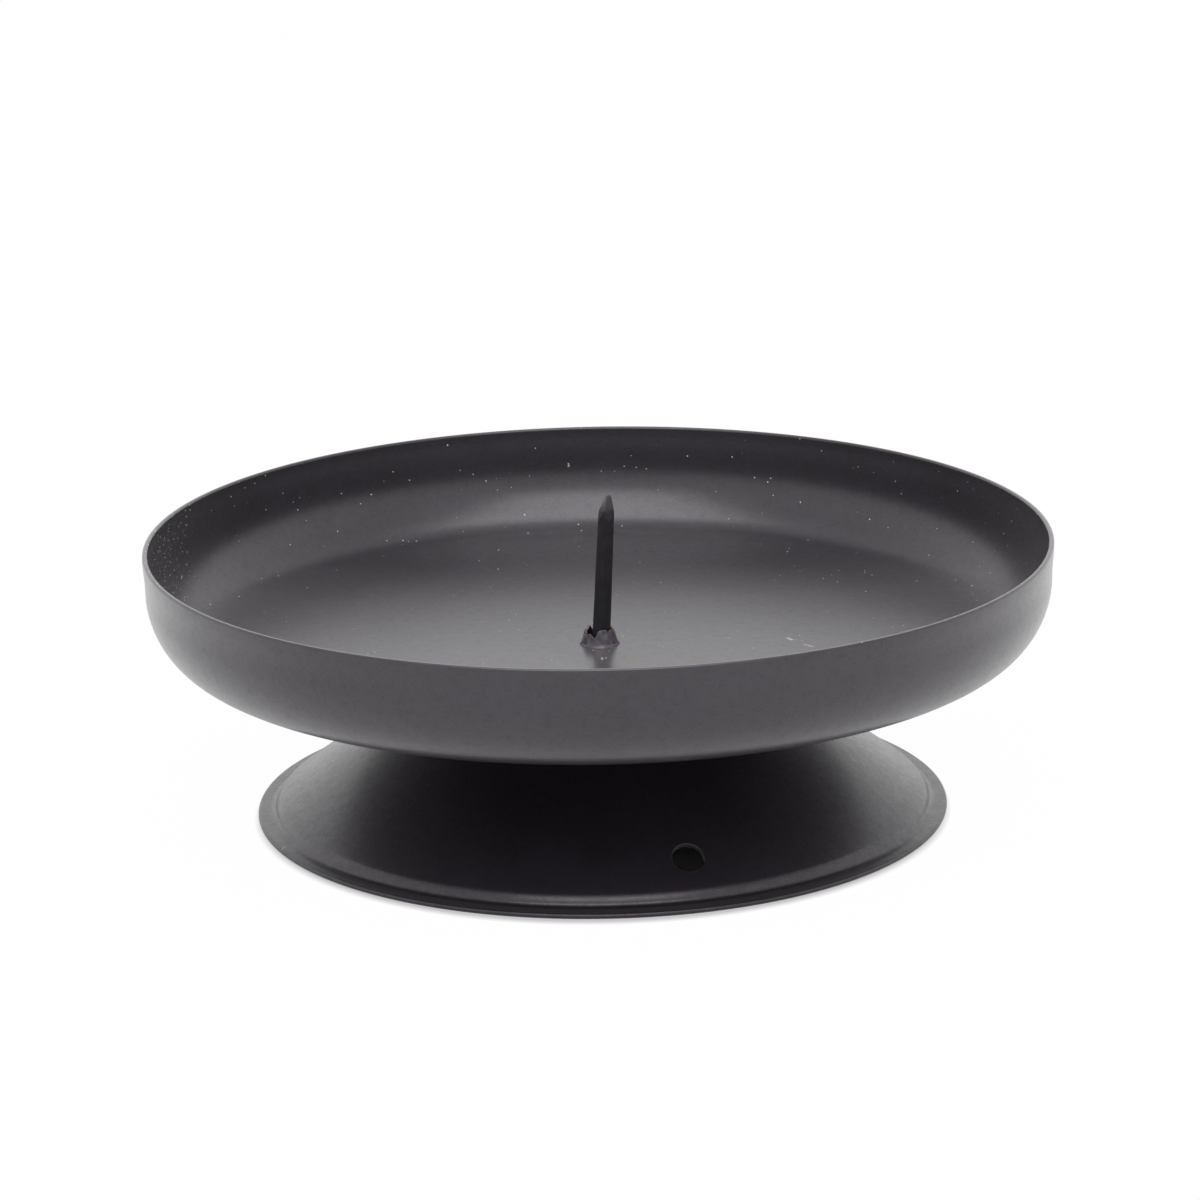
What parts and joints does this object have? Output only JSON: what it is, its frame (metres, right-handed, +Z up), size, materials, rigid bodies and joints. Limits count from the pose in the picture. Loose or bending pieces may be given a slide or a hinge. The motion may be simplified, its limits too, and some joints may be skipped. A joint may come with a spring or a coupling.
{
  "type": "candle plate",
  "caption": "Low black metal candle plate: a round dish with a centre spike, on a hollow conical foot with a flat flange.",
  "frame": {"origin": "middle of the foot's underside, on the table", "axes": "+Z up along the axis of the dish and the foot; -Y towards the side with the small hole in the foot; the spike leans towards +X"},
  "size_m": [0.12, 0.12, 0.0428],
  "materials": {
    "satin_black_paint": "satin",
    "dull_black_steel": "matte"
  },
  "bodies": {
    "root": {"candle_dish": "satin_black_paint", "cone_foot": "satin_black_paint", "claw_collar": "satin_black_paint", "spike_nail": "dull_black_steel"}
  },
  "joints": []
}
